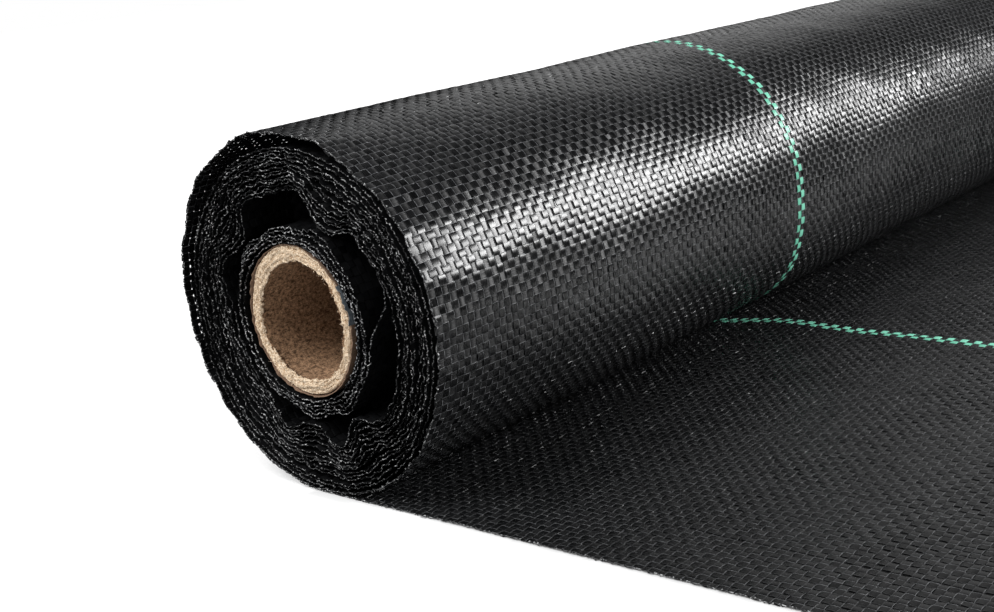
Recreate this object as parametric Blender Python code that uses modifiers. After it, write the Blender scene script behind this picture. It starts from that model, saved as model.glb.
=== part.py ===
"""Roll of weed control fabric: a woven web wound loosely on a cardboard core, its free length laid flat.

Units are metres and +Z is up. The roll's axis runs along Y, its photographed end faces -Y and the laid
sheet runs off towards +X. The origin is on the floor under the roll's axis, half way along it.
"""

import math

import bmesh
import bpy

# The web, which is as wide as the roll is long
WEB_WIDTH = 1.0
WEB_THICKNESS = 0.00035
CLEARANCE = 0.0003

# The outermost turn, which stands loose round the rest and runs off as the sheet
ROLL_RADIUS = 0.0575
WRAP_BULGE = 0.0008
WRAP_SWEEP_DEG = 358.0
WRAP_POINTS = 48
TUCK_GAP = 0.00045

# The laid sheet, flat on the floor, and its end, which lifts about a fold
SHEET_HEEL = 0.0063
FOLD_REACH = 0.24
FREE_LENGTH = 0.18
FOLD_RISE = 0.0009

# The turns inside, one unbroken winding from the core to the outermost turn
PACK_RADIUS = 0.055
SEAT_GAP = 0.0005
LAYER_GAP = 0.0006
WINDING_START_DEG = 15.0
WINDING_END_DEG = -92.0
WINDING_FULL_TURNS = 18
WINDING_POINTS = 36
CORE_TURNS = 5
LOOSE_TURNS = 4
LEAST_GAP = 0.0004

# How the slack between the turns is shared: the first turns cling to the core
CORE_EASE = 0.25
OUTER_EASE = 0.35

# Hollows under a crumpled turn: turn number, angle round the roll, half width, weight against an even gap
HOLLOWS = (
    (CORE_TURNS, 84.0, 8.0, 34.0),
    (CORE_TURNS, 100.0, 12.0, 16.0),
    (CORE_TURNS, 116.0, 7.0, 30.0),
    (CORE_TURNS, 158.0, 10.0, 8.0),
    (CORE_TURNS, -113.0, 9.0, 7.0),
    (CORE_TURNS, -75.0, 7.0, 16.0),
    (CORE_TURNS, -33.0, 12.0, 40.0),
    (CORE_TURNS, -8.0, 14.0, 40.0),
    (CORE_TURNS, 20.0, 16.0, 40.0),
    (CORE_TURNS, 42.0, 7.0, 14.0),
)

# The core: a tube of glued paper plies, cut all but flush with the web
CORE_RADIUS = 0.0235
CORE_WALL = 0.0043
CORE_PLY = 0.0005
CORE_PROUD = 0.001
CORE_STEPS = 48

# The tape that holds the web's first edge to the core
TAPE_THICKNESS = 0.0002
TAPE_LENGTH = 0.05
TAPE_START_DEG = 2.0
TAPE_SWEEP_DEG = 30.0
TAPE_POINTS = 5

# The green marker tapes woven into the web
MARKER_FIRST = 0.2
MARKER_SPACING = 0.3
MARKER_COUNT = 3
MARKER_WIDTH = 0.005
MARKER_THICKNESS = 0.0002
MARKER_HEEL = 0.012
MARKER_WRAP_END_DEG = -410.0

SMOOTH_ANGLE = math.radians(40.0)
FULL_TURN = 2.0 * math.pi

BLACK_FABRIC = (0.018, 0.019, 0.021)
GREEN_TAPE = (0.16, 0.70, 0.44)
BROWN_PAPER = (0.20, 0.13, 0.09)
CREAM_PAPER = (0.72, 0.58, 0.42)
DARK_PAPER = (0.17, 0.12, 0.085)
GREY_TAPE = (0.26, 0.31, 0.35)

# Worked out from the sizes above
LAYER_PITCH = WEB_THICKNESS + LAYER_GAP
TUCK_STEP = WEB_THICKNESS + TUCK_GAP
AXIS_HEIGHT = WEB_THICKNESS + TUCK_STEP + SEAT_GAP + PACK_RADIUS
NEAR_EDGE = -WEB_WIDTH / 2.0
FIRST_TURN_RADIUS = CORE_RADIUS + CLEARANCE + TAPE_THICKNESS + CLEARANCE + WEB_THICKNESS / 2.0
LAST_TURN_RADIUS = PACK_RADIUS - WEB_THICKNESS / 2.0
WINDING_TURN = (
    FULL_TURN * WINDING_FULL_TURNS
    + math.radians(WINDING_END_DEG - WINDING_START_DEG) % FULL_TURN
)
SLACK = LAST_TURN_RADIUS - FIRST_TURN_RADIUS - LAYER_PITCH * WINDING_TURN / FULL_TURN


def clear_scene():
    """Empty the file, so that the part is all that it holds."""
    for thing in list(bpy.data.objects):
        bpy.data.objects.remove(thing)


def new_material(name, colour, roughness):
    """A plain Principled material."""
    made = bpy.data.materials.new(name)
    made.use_nodes = True
    shader = made.node_tree.nodes["Principled BSDF"]
    shader.inputs["Base Color"].default_value = (*colour, 1.0)
    shader.inputs["Roughness"].default_value = roughness
    shader.inputs["Metallic"].default_value = 0.0
    return made


def new_object(name, mesh, collection, parent):
    """Put a mesh in the part's collection, under the empty that carries it."""
    made = bpy.data.objects.new(name, mesh)
    collection.objects.link(made)
    made.parent = parent
    return made


def new_carrier(name, height, reach, collection, parent=None):
    """An empty on a joint's axis, at a height over the floor and a reach from the roll's axis."""
    made = bpy.data.objects.new(name, None)
    collection.objects.link(made)
    made.parent = parent
    made.location = (reach, 0.0, height)
    return made


def ribbon(name, path, near_y, width, thickness, look, collection, parent):
    """A strip of sheet: a path of (x, z) points, drawn out along Y and given its thickness."""
    shape = bmesh.new()
    points = [shape.verts.new((x, near_y, z)) for x, z in path]
    edges = [shape.edges.new(pair) for pair in zip(points, points[1:])]
    drawn = bmesh.ops.extrude_edge_only(shape, edges=edges)["geom"]
    far = [part for part in drawn if isinstance(part, bmesh.types.BMVert)]
    bmesh.ops.translate(shape, verts=far, vec=(0.0, width, 0.0))
    mesh = bpy.data.meshes.new(name)
    shape.to_mesh(mesh)
    shape.free()
    mesh.materials.append(look)
    mesh.shade_smooth()
    mesh.set_sharp_from_angle(angle=SMOOTH_ANGLE)
    made = new_object(name, mesh, collection, parent)
    solid = made.modifiers.new("thickness", "SOLIDIFY")
    solid.thickness = thickness
    solid.offset = 0.0
    solid.use_even_offset = True
    return made


def tube(name, inner, outer, length, look, collection, parent):
    """A turned tube about the Y axis, centred on its carrier."""
    half = length / 2.0
    corners = ((outer, half), (outer, -half), (inner, -half), (inner, half))
    shape = bmesh.new()
    points = [shape.verts.new((radius, 0.0, along)) for radius, along in corners]
    for one, other in zip(points, points[1:] + points[:1]):
        shape.edges.new((one, other))
    mesh = bpy.data.meshes.new(name)
    shape.to_mesh(mesh)
    shape.free()
    mesh.materials.append(look)
    made = new_object(name, mesh, collection, parent)
    made.rotation_euler = (math.radians(90.0), 0.0, 0.0)
    turn = made.modifiers.new("turned", "SCREW")
    turn.axis = "Z"
    turn.steps = CORE_STEPS
    turn.render_steps = CORE_STEPS
    turn.use_merge_vertices = True
    turn.merge_threshold = CORE_PLY / 50.0
    turn.use_smooth_shade = True
    return made


def smooth_step(share):
    """0 below 0, 1 above 1, and an even ease between."""
    share = min(max(share, 0.0), 1.0)
    return share * share * (3.0 - 2.0 * share)


def looseness(turned):
    """The weight of the gap under the winding, after it has turned this far from its start."""
    turns = turned / FULL_TURN
    weight = CORE_EASE + (OUTER_EASE - CORE_EASE) * smooth_step(turns - CORE_TURNS)
    for turn, angle_deg, half_width_deg, heap in HOLLOWS:
        centre = FULL_TURN * turn + math.radians(angle_deg - WINDING_START_DEG) % FULL_TURN
        weight += heap * math.exp(-(((turned - centre) / math.radians(half_width_deg)) ** 2))
    return weight * smooth_step(turns) * smooth_step((WINDING_TURN - turned) / FULL_TURN)


def winding_radius(turned):
    """The winding's distance from the axis: even layers, plus the slack that lies under this point."""
    under = sum(looseness(turned - FULL_TURN * back) for back in range(int(turned / FULL_TURN) + 1))
    above = int((WINDING_TURN - turned) / FULL_TURN)
    over = sum(looseness(turned + FULL_TURN * ahead) for ahead in range(1, above + 1))
    share = under / (under + over) if under + over > 0.0 else 0.0
    return FIRST_TURN_RADIUS + LAYER_PITCH * turned / FULL_TURN + SLACK * share


def winding_point(turned):
    """A point on the winding, from the roll's axis."""
    radius = winding_radius(turned)
    angle = math.radians(WINDING_START_DEG) + turned
    return radius * math.cos(angle), radius * math.sin(angle)


def winding_path(start, end):
    """The winding between two turned angles, cut back where it meets its next stretch."""
    if start > 0.0:
        start += CLEARANCE / 2.0 / winding_radius(start)
    if end < WINDING_TURN:
        end -= CLEARANCE / 2.0 / winding_radius(end)
    step = FULL_TURN / WINDING_POINTS
    inner = range(math.floor(start / step) + 1, math.ceil(end / step))
    return [winding_point(turned) for turned in (start, *(step * i for i in inner), end)]


def distance_to_stretch(point, one, other):
    """From a point to the straight stretch between two others."""
    run = (other[0] - one[0], other[1] - one[1])
    reach = (point[0] - one[0], point[1] - one[1])
    share = (run[0] * reach[0] + run[1] * reach[1]) / (run[0] ** 2 + run[1] ** 2)
    share = min(max(share, 0.0), 1.0)
    return math.hypot(reach[0] - share * run[0], reach[1] - share * run[1])


def least_gap(path):
    """The narrowest space between one turn of the winding and the next."""
    half = WINDING_POINTS // 2
    found = []
    for i, point in enumerate(path):
        last = min(i + 3 * half, len(path) - 1)
        for j in range(i + half, last):
            found.append(distance_to_stretch(point, path[j], path[j + 1]))
    return min(found) - WEB_THICKNESS


def wrap_point(angle_deg, rise):
    """A point on the outermost turn, so far out from its middle; its last quarter tucks inwards."""
    tuck = TUCK_STEP * smooth_step(-(angle_deg + 360.0) / 90.0)
    out = rise - WEB_THICKNESS / 2.0 - tuck
    angle = math.radians(angle_deg)
    wide = ROLL_RADIUS + WRAP_BULGE + out
    high = ROLL_RADIUS + out
    return wide * math.cos(angle), ROLL_RADIUS + high * math.sin(angle)


def wrap_path(start_deg, end_deg, rise):
    """The outermost turn from one angle to another, clockwise as seen from its near end."""
    count = math.ceil((start_deg - end_deg) * WRAP_POINTS / 360.0)
    step = (end_deg - start_deg) / count
    return [wrap_point(start_deg + step * i, rise) for i in range(count + 1)]


def make_core(collection, parent, looks):
    """The core's plies and the tape on it."""
    length = WEB_WIDTH + 2.0 * CORE_PROUD
    bore = CORE_RADIUS - CORE_WALL
    skin_inner = CORE_RADIUS - CORE_PLY
    liner_outer = bore + CORE_PLY
    plies = (
        ("core_outer_paper", skin_inner, CORE_RADIUS, "brown"),
        ("core_tube", liner_outer + CLEARANCE, skin_inner - CLEARANCE, "cream"),
        ("core_liner_paper", bore, liner_outer, "dark"),
    )
    for name, inner, outer, look in plies:
        tube(name, inner, outer, length, looks[look], collection, parent)
    radius = CORE_RADIUS + CLEARANCE + TAPE_THICKNESS / 2.0
    step = math.radians(TAPE_SWEEP_DEG) / (TAPE_POINTS - 1)
    angles = [math.radians(TAPE_START_DEG) + step * i for i in range(TAPE_POINTS)]
    path = [(radius * math.cos(angle), radius * math.sin(angle)) for angle in angles]
    sizes = (NEAR_EDGE - CORE_PROUD, TAPE_LENGTH, TAPE_THICKNESS)
    ribbon("start_tape", path, *sizes, looks["tape"], collection, parent)


def make_pack(collection, parent, looks):
    """The turns between the core and the outermost one, in three stretches of one winding."""
    ends = (0.0, FULL_TURN * CORE_TURNS, FULL_TURN * (CORE_TURNS + LOOSE_TURNS), WINDING_TURN)
    names = ("core_turns", "crumpled_turns", "outer_turns")
    for name, start, end in zip(names, ends, ends[1:]):
        path = winding_path(start, end)
        ribbon(name, path, NEAR_EDGE, WEB_WIDTH, WEB_THICKNESS, looks["black"], collection, parent)


def make_laid_web(collection, parent, looks):
    """The outermost turn and the sheet that runs off it, along the floor."""
    wide = ROLL_RADIUS + WRAP_BULGE - WEB_THICKNESS / 2.0
    start_deg = -90.0 - math.degrees(math.asin((SHEET_HEEL + CLEARANCE) / wide))
    path = wrap_path(start_deg, start_deg - WRAP_SWEEP_DEG, 0.0)
    ribbon("outer_wrap", path, NEAR_EDGE, WEB_WIDTH, WEB_THICKNESS, looks["black"], collection, parent)
    middle = WEB_THICKNESS / 2.0
    path = [(-SHEET_HEEL, middle), (FOLD_REACH, middle)]
    ribbon("laid_sheet", path, NEAR_EDGE, WEB_WIDTH, WEB_THICKNESS, looks["black"], collection, parent)


def make_free_end(collection, parent, looks):
    """The last stretch of the sheet, measured from the fold's axis."""
    middle = -(FOLD_RISE + WEB_THICKNESS / 2.0)
    path = [(CLEARANCE, middle), (FREE_LENGTH, middle)]
    ribbon("free_end", path, NEAR_EDGE, WEB_WIDTH, WEB_THICKNESS, looks["black"], collection, parent)


def make_markers(collection, laid, end, looks):
    """Each green marker: one strip up the outermost turn, one along the sheet and one on its end."""
    rise = WEB_THICKNESS / 2.0 + CLEARANCE + MARKER_THICKNESS / 2.0
    wide = ROLL_RADIUS + WRAP_BULGE
    start_deg = -90.0 - math.degrees(math.asin(MARKER_HEEL / wide))
    up_wrap = wrap_path(start_deg, MARKER_WRAP_END_DEG, rise)
    height = WEB_THICKNESS / 2.0 + rise
    along_sheet = [(MARKER_HEEL, height), (FOLD_REACH, height)]
    lifted = rise - FOLD_RISE - WEB_THICKNESS / 2.0
    along_end = [(CLEARANCE, lifted), (FREE_LENGTH, lifted)]
    stretches = (("wrap", up_wrap, laid), ("sheet", along_sheet, laid), ("end", along_end, end))
    for i in range(MARKER_COUNT):
        near = NEAR_EDGE + MARKER_FIRST + MARKER_SPACING * i - MARKER_WIDTH / 2.0
        for place, path, parent in stretches:
            name = f"marker_tape_{place}_{i + 1}"
            ribbon(name, path, near, MARKER_WIDTH, MARKER_THICKNESS, looks["green"], collection, parent)


def make_looks():
    """One material for each finish."""
    return {
        "black": new_material("black_fabric", BLACK_FABRIC, 0.45),
        "green": new_material("green_tape", GREEN_TAPE, 0.45),
        "brown": new_material("brown_paper", BROWN_PAPER, 0.85),
        "cream": new_material("cream_paper", CREAM_PAPER, 0.9),
        "dark": new_material("dark_paper", DARK_PAPER, 0.9),
        "tape": new_material("grey_tape", GREY_TAPE, 0.4),
    }


def main():
    """Build the roll, on its joints' axes."""
    clear_scene()
    collection = bpy.data.collections.new("weed_control_fabric_roll")
    bpy.context.scene.collection.children.link(collection)
    looks = make_looks()
    laid_web = new_carrier("laid_web", 0.0, 0.0, collection)
    roll_axis = new_carrier("roll_axis", AXIS_HEIGHT, 0.0, collection, laid_web)
    core_slide = new_carrier("core_slide", 0.0, 0.0, collection, roll_axis)
    fold_axis = new_carrier("fold_axis", WEB_THICKNESS + FOLD_RISE, FOLD_REACH, collection, laid_web)
    make_core(collection, core_slide, looks)
    make_pack(collection, roll_axis, looks)
    make_laid_web(collection, laid_web, looks)
    make_free_end(collection, fold_axis, looks)
    make_markers(collection, laid_web, fold_axis, looks)
    step = FULL_TURN / WINDING_POINTS
    count = math.floor(WINDING_TURN / step) + 1
    gap = least_gap([winding_point(step * i) for i in range(count)])
    print(f"least gap between turns {gap * 1000.0:.3f} mm, wanted over {LEAST_GAP * 1000.0:.3f} mm")


main()
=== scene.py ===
"""Roll of weed control fabric: the looks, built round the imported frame.

Units are metres, as in the CAD: +Z is up, the roll's axis runs along Y over the origin, the photographed
end faces -Y and the laid sheet runs off towards +X.
"""

import math

import bpy
import numpy as np
from mathutils import Matrix, Vector


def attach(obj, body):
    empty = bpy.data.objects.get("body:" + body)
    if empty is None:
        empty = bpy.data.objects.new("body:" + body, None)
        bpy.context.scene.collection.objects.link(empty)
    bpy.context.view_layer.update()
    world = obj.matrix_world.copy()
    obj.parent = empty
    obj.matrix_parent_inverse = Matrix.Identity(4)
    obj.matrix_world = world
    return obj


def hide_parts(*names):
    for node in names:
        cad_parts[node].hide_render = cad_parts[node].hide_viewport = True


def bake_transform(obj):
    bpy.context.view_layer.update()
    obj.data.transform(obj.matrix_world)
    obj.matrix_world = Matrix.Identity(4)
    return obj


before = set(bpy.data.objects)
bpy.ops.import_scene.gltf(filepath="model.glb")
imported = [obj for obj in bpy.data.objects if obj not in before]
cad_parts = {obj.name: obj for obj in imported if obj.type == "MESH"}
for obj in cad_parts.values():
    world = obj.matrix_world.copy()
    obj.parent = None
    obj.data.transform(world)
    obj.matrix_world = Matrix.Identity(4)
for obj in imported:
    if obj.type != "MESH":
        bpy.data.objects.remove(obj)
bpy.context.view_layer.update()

MM = 0.001
FULL_TURN = 2.0 * math.pi

# Sizes that the CAD has too
WEB_WIDTH = 1.0
WEB_THICKNESS = 0.00035
CLEARANCE = 0.0003
NEAR_EDGE = -WEB_WIDTH / 2.0
FAR_EDGE = WEB_WIDTH / 2.0
ROLL_RADIUS = 0.0575
WRAP_BULGE = 0.0008
WRAP_SWEEP_DEG = 358.0
SHEET_HEEL = 0.0063
FOLD_REACH = 0.24
FREE_LENGTH = 0.18
LAYER_PITCH = 0.00095
TUCK_STEP = 0.0008
AXIS_HEIGHT = 0.05665
FIRST_TURN_RADIUS = 0.024475
LAST_TURN_RADIUS = 0.054825
WINDING_START = math.radians(15.0)
WINDING_TURN = FULL_TURN * 18 + math.radians(-92.0 - 15.0) % FULL_TURN
SLACK = LAST_TURN_RADIUS - FIRST_TURN_RADIUS - LAYER_PITCH * WINDING_TURN / FULL_TURN
CORE_TURNS = 5
LOOSE_TURNS = 4
CORE_EASE = 0.25
OUTER_EASE = 0.35
HOLLOWS = (
    (CORE_TURNS, 84.0, 8.0, 34.0),
    (CORE_TURNS, 100.0, 12.0, 16.0),
    (CORE_TURNS, 116.0, 7.0, 30.0),
    (CORE_TURNS, 158.0, 10.0, 8.0),
    (CORE_TURNS, -113.0, 9.0, 7.0),
    (CORE_TURNS, -75.0, 7.0, 16.0),
    (CORE_TURNS, -33.0, 12.0, 40.0),
    (CORE_TURNS, -8.0, 14.0, 40.0),
    (CORE_TURNS, 20.0, 16.0, 40.0),
    (CORE_TURNS, 42.0, 7.0, 14.0),
)
CORE_RADIUS = 0.0235
CORE_WALL = 0.0043
CORE_PLY = 0.0005
CORE_PROUD = 0.001
TAPE_START = math.radians(2.0)
TAPE_SWEEP = math.radians(30.0)
TAPE_LENGTH = 0.05

# The weave: flat tapes, one set running round the roll (warp) and one along it (weft), and how far a tape stands
# off the web's middle where it crosses another
WARP_COUNT = 384
WARP_PITCH = WEB_WIDTH / WARP_COUNT
WEFT_PITCH = 2.55 * MM
LIFT = 0.17 * MM
GREEN_TAPES = ((76, 77), (191, 192), (306, 307))
# Where a tape is bent, in shares of the pitch from a crossing, and how high, in shares of the lift
BENDS = {
    "warp": (((-0.485, 0.5), (-0.25, 0.95), (0.25, 0.95), (0.485, 0.5)), ((-0.485, -0.4), (0.485, -0.4))),
    "weft": (((-0.44, 0.6), (-0.24, 0.97), (0.12, 0.97), (0.3, 0.6)), ((-0.36, -0.65), (0.4, -0.65))),
}
# How narrow the outermost warp tapes and the weft across them may be, where the rim gapes
RIM_GAPE = ((0.9, 0.74), (0.78, 0.7), (0.97, 0.95))
# How many tapes at the near rim are wider where it is shut, and by how much
SHUT_TAPES, SHUT_WARP, SHUT_WEFT = 8, 0.07, 0.06
# The middle of the laid sheet over the floor
SHEET_LEVEL = 0.33 * MM


def smooth_step(share):
    """0 below 0, 1 above 1, and an even ease between."""
    share = np.clip(share, 0.0, 1.0)
    return share * share * (3.0 - 2.0 * share)


def bump(place, centre, half):
    """A soft hump of height 1."""
    return np.exp(-(((place - centre) / half) ** 2))


def waves(seed, s, y, reach_s, reach_y, count=7):
    """Slow unevenness over two directions, about -1 to 1, with swells about so far apart."""
    rng = np.random.default_rng(seed)
    total = 0.0
    for _ in range(count):
        along = rng.uniform(0.6, 1.7) / reach_s * rng.choice((-1.0, 1.0))
        across = rng.uniform(0.6, 1.7) / reach_y
        total = total + np.sin(FULL_TURN * (along * s + across * y) + rng.uniform(0.0, FULL_TURN))
    return total / math.sqrt(count) * 0.75


class Curve:
    """A path of (x, z) points, read by the distance along it."""

    def __init__(self, x, z):
        self.x, self.z = np.asarray(x), np.asarray(z)
        steps = np.hypot(np.diff(self.x), np.diff(self.z))
        self.s = np.concatenate([[0.0], np.cumsum(steps)])
        self.length = float(self.s[-1])
        self.tx = np.gradient(self.x, self.s)
        self.tz = np.gradient(self.z, self.s)

    def __call__(self, s):
        """x, z and the unit normal on the left of the way along, where s may run past either end."""
        x, z = np.interp(s, self.s, self.x), np.interp(s, self.s, self.z)
        tx, tz = np.interp(s, self.s, self.tx), np.interp(s, self.s, self.tz)
        size = np.hypot(tx, tz)
        tx, tz = tx / size, tz / size
        past = np.minimum(s, 0.0) + np.maximum(s - self.length, 0.0)
        return x + past * tx, z + past * tz, -tz, tx


def wrap_curve():
    """The outermost turn, clockwise seen from the near end, and the angle at each of its points."""
    wide = ROLL_RADIUS + WRAP_BULGE - WEB_THICKNESS / 2.0
    start = -90.0 - math.degrees(math.asin((SHEET_HEEL + CLEARANCE) / wide))
    degrees = np.linspace(start, start - WRAP_SWEEP_DEG, 1200)
    out = -WEB_THICKNESS / 2.0 - TUCK_STEP * smooth_step(-(degrees + 360.0) / 90.0)
    angle = np.radians(degrees)
    x = (ROLL_RADIUS + WRAP_BULGE + out) * np.cos(angle)
    z = ROLL_RADIUS + (ROLL_RADIUS + out) * np.sin(angle)
    return Curve(x, z), degrees


WRAP, WRAP_DEGREES = wrap_curve()


def wrap_surface(s, y):
    """The outermost turn: a little uneven, standing off at its near rim and sagging low on the sheet's side."""
    x, z, nx, nz = WRAP(s)
    degrees = np.interp(s, WRAP.s, WRAP_DEGREES)
    from_end = np.minimum(y - NEAR_EDGE, FAR_EDGE - y)
    free = smooth_step((degrees - WRAP_DEGREES[0] + 50.0) / -50.0 + 1.0)
    seat = 1.0 - bump(degrees, -90.0, 35.0) - bump(degrees, -450.0, 28.0)
    sag = bump(degrees, -395.0, 24.0) * smooth_step(from_end / 0.16) * 2.6
    swell = waves(11, s, y, 0.09, 0.21) * 0.45 + waves(12, s, y, 0.03, 0.07) * 0.14
    rim = np.exp(-from_end / 0.012) * waves(13, s, y, 0.021, 0.5) * 0.8
    lean = -1.4 * np.exp(-from_end / 0.03) * bump(degrees, -335.0, 50.0)
    out = MM * np.clip(seat, 0.0, 1.0) * (sag + swell + rim + lean) * np.clip(free, 0.0, 1.0)
    return np.stack([x + nx * out, y, z + nz * out], -1), np.stack([nx, 0.0 * y, nz], -1)


def sheet_rise(x, y):
    """How far the laid sheet stands off the floor."""
    from_end = np.minimum(y - NEAR_EDGE, FAR_EDGE - y)
    swell = bump(x, 0.046, 0.02) * 2.2 + bump(x, 0.10, 0.05) * 0.5
    loose = 0.35 * (1.0 + waves(21, x, y, 0.16, 0.3)) * smooth_step((x - 0.03) / 0.05)
    small = 0.12 * (1.0 + waves(22, x, y, 0.035, 0.05)) * smooth_step((x - 0.02) / 0.04)
    held = smooth_step(from_end / 0.15)
    return MM * (swell * held + loose * (0.25 + 0.75 * held) + small)


def sheet_surface(s, y):
    """The laid sheet and its free end, whose distance along is its reach from the roll's axis."""
    step = 0.5 * MM
    z = SHEET_LEVEL + sheet_rise(s, y)
    slope_x = (sheet_rise(s + step, y) - sheet_rise(s - step, y)) / (2 * step)
    slope_y = (sheet_rise(s, y + step) - sheet_rise(s, y - step)) / (2 * step)
    normal = np.stack([-slope_x, -slope_y, np.ones_like(s)], -1)
    normal /= np.linalg.norm(normal, axis=-1, keepdims=True)
    return np.stack([s, y, z], -1), normal


def looseness(turned):
    """The weight of the gap under the winding, after it has turned this far from its start."""
    turns = turned / FULL_TURN
    weight = CORE_EASE + (OUTER_EASE - CORE_EASE) * smooth_step(turns - CORE_TURNS)
    for turn, angle_deg, half_width_deg, heap in HOLLOWS:
        centre = FULL_TURN * turn + (math.radians(angle_deg) - WINDING_START) % FULL_TURN
        weight = weight + heap * bump(turned, centre, math.radians(half_width_deg))
    return weight * smooth_step(turns) * smooth_step((WINDING_TURN - turned) / FULL_TURN)


def winding_radius(turned):
    """The winding's distance from the axis: even layers, plus the slack that lies under this point."""
    under, over = np.zeros_like(turned), np.zeros_like(turned)
    for turn in range(20):
        back = turned - FULL_TURN * turn
        under += np.where(back >= 0.0, looseness(np.maximum(back, 0.0)), 0.0)
        ahead = turned + FULL_TURN * (turn + 1)
        over += np.where(ahead <= WINDING_TURN, looseness(np.minimum(ahead, WINDING_TURN)), 0.0)
    share = under / np.maximum(under + over, 1e-12)
    return FIRST_TURN_RADIUS + LAYER_PITCH * turned / FULL_TURN + SLACK * share


def crumple(turned, radius):
    """The small waves of the turns, which neighbours share, and the way that they bunch."""
    angle = WINDING_START + turned
    rng = np.random.default_rng(31)
    total = np.zeros_like(turned)
    for _ in range(18):
        folds = int(rng.integers(9, 64))
        drift = rng.uniform(-0.4, 0.4)
        size = 0.55 * (12.0 / folds) ** 0.65
        total += size * np.sin(folds * angle + drift * radius / MM + rng.uniform(0.0, FULL_TURN))
    loose = smooth_step((radius - 0.0285) / 0.006) * smooth_step((0.0552 - radius) / 0.006)
    turns = turned / FULL_TURN
    bunch = 0.2 * np.sin(FULL_TURN * turns / 2.6 + 2.0 * np.sin(angle + 0.7)) * smooth_step(turns - 4.5)
    eased = (0.5 - 3.4 * (0.5 - 0.5 * np.cos(angle + 0.35)) ** 1.3) * smooth_step((turns - 6.0) / 12.0)
    return MM * (total * 0.3 * (0.15 + 0.85 * loose) + bunch * loose + eased)


def winding_curve():
    """The turns inside, about the roll's axis, and the turned angle at each point."""
    turned = np.linspace(0.0, WINDING_TURN, 26000)
    radius = winding_radius(turned)
    radius = radius + crumple(turned, radius)
    angle = WINDING_START + turned
    return Curve(radius * np.cos(angle), AXIS_HEIGHT + radius * np.sin(angle)), turned


WINDING, WINDING_TURNED = winding_curve()


def winding_surface(s, y):
    """The turns inside: each edge stands in or out a little, and crinkles."""
    x, z, nx, nz = WINDING(s)
    turns = np.interp(s, WINDING.s, WINDING_TURNED) / FULL_TURN
    near, far = np.exp((NEAR_EDGE - y) / 0.02), np.exp((y - FAR_EDGE) / 0.02)
    stray = 0.55 * np.sin(7.3 * turns + 1.0) + 0.4 * np.sin(2.9 * turns + 0.4) + waves(41, s, y, 0.06, 0.5) * 0.35
    proud = 1.6 * smooth_step(3.4 - turns)
    shift = MM * (near * (stray - proud) + far * (proud - stray))
    depth = 0.16 + 0.12 * smooth_step((6.0 - turns) / 2.0)
    crinkle = MM * (near + far) * waves(42, s, y, 0.0036, 0.03) * depth
    return np.stack([x + nx * crinkle, y + shift, z + nz * crinkle], -1), np.stack([nx, 0.0 * y, nz], -1)


def add_mesh(name, verts, faces, materials, uv=None, slots=None, folds=None):
    """One object from an array of corners and one of four-cornered faces, with a UV map in metres.

    Edges whose two corners carry the same number above 0 in folds are creased.
    """
    verts, faces = verts.reshape(-1, 3), faces.reshape(-1, 4)
    mesh = bpy.data.meshes.new(name)
    mesh.vertices.add(len(verts))
    mesh.vertices.foreach_set("co", verts.astype(np.float32).ravel())
    mesh.loops.add(faces.size)
    mesh.loops.foreach_set("vertex_index", faces.astype(np.int32).ravel())
    mesh.polygons.add(len(faces))
    mesh.polygons.foreach_set("loop_start", np.arange(0, faces.size, 4, dtype=np.int32))
    mesh.update(calc_edges=True)
    if uv is not None:
        layer = mesh.uv_layers.new(name="tape")
        layer.data.foreach_set("uv", uv.reshape(-1, 2)[faces.ravel()].astype(np.float32).ravel())
    for material in materials if isinstance(materials, (list, tuple)) else [materials]:
        mesh.materials.append(material)
    if slots is not None:
        mesh.polygons.foreach_set("material_index", slots.astype(np.int32))
    mesh.shade_smooth()
    if folds is not None:
        ends = np.empty(2 * len(mesh.edges), dtype=np.int32)
        mesh.edges.foreach_get("vertices", ends)
        one, other = folds[ends[0::2]], folds[ends[1::2]]
        crease = mesh.attributes.new("sharp_edge", "BOOLEAN", "EDGE")
        crease.data.foreach_set("value", (one > 0) & (one == other))
    made = bpy.data.objects.new(name, mesh)
    bpy.context.scene.collection.objects.link(made)
    return made


def grid_faces(strips, stations, corners):
    """The faces of strips of stations by corners, numbered as their corners lie in an array."""
    first = np.arange(strips * stations * corners).reshape(strips, stations, corners)
    a, b = first[:, :-1, :-1], first[:, 1:, :-1]
    return np.stack([a, b, b + 1, a + 1], -1).reshape(-1, 4)


def add_grid(name, verts, materials, uv=None, slots=None):
    """One object from a single grid of corners."""
    return add_mesh(name, verts[None], grid_faces(1, *verts.shape[:2]), materials, uv, slots)


# The cut across a tape, from one edge to the other: place from -1 to 1, and drop in metres
FINE_CUT = ((-1.0, 0.045 * MM), (0.0, 0.0), (1.0, 0.04 * MM))
PLAIN_CUT = ((-1.0, 0.0), (1.0, 0.0))
# How far apart the corners of a fused edge are, and how near a cut edge a face counts as frayed
BEAD_STEP = 0.4 * MM
FRAY_DEPTH = 0.2 * MM


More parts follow.
